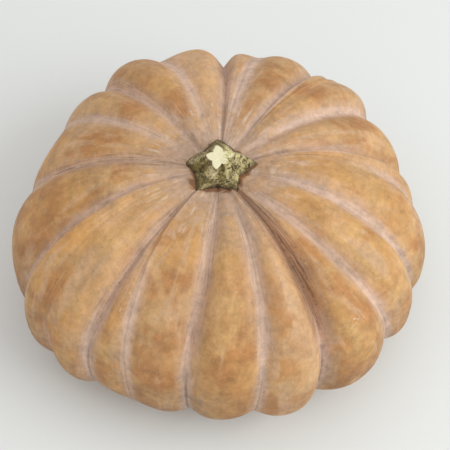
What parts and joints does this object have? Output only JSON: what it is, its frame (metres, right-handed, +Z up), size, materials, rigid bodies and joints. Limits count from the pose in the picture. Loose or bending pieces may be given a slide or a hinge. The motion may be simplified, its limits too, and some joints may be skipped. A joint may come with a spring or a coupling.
{
  "type": "pumpkin",
  "caption": "Ripe flattened pumpkin with deep uneven ribs, dusty tan skin and a short cut five-ridged stem, resting on a small flat spot",
  "frame": {"origin": "on the ground, below the middle of the pumpkin's bounding box", "axes": "+Z up along the stem, +Y away from the side that shows in front, +X to the right of that side"},
  "size_m": [0.3372, 0.3404, 0.1665],
  "materials": {
    "skin": "matte ripe skin with a pale bloom in the grooves",
    "stem": "dry, rough and mottled green, with a pale cut face"
  },
  "bodies": {
    "root": {"fruit": "skin", "stem": "stem"}
  },
  "joints": []
}
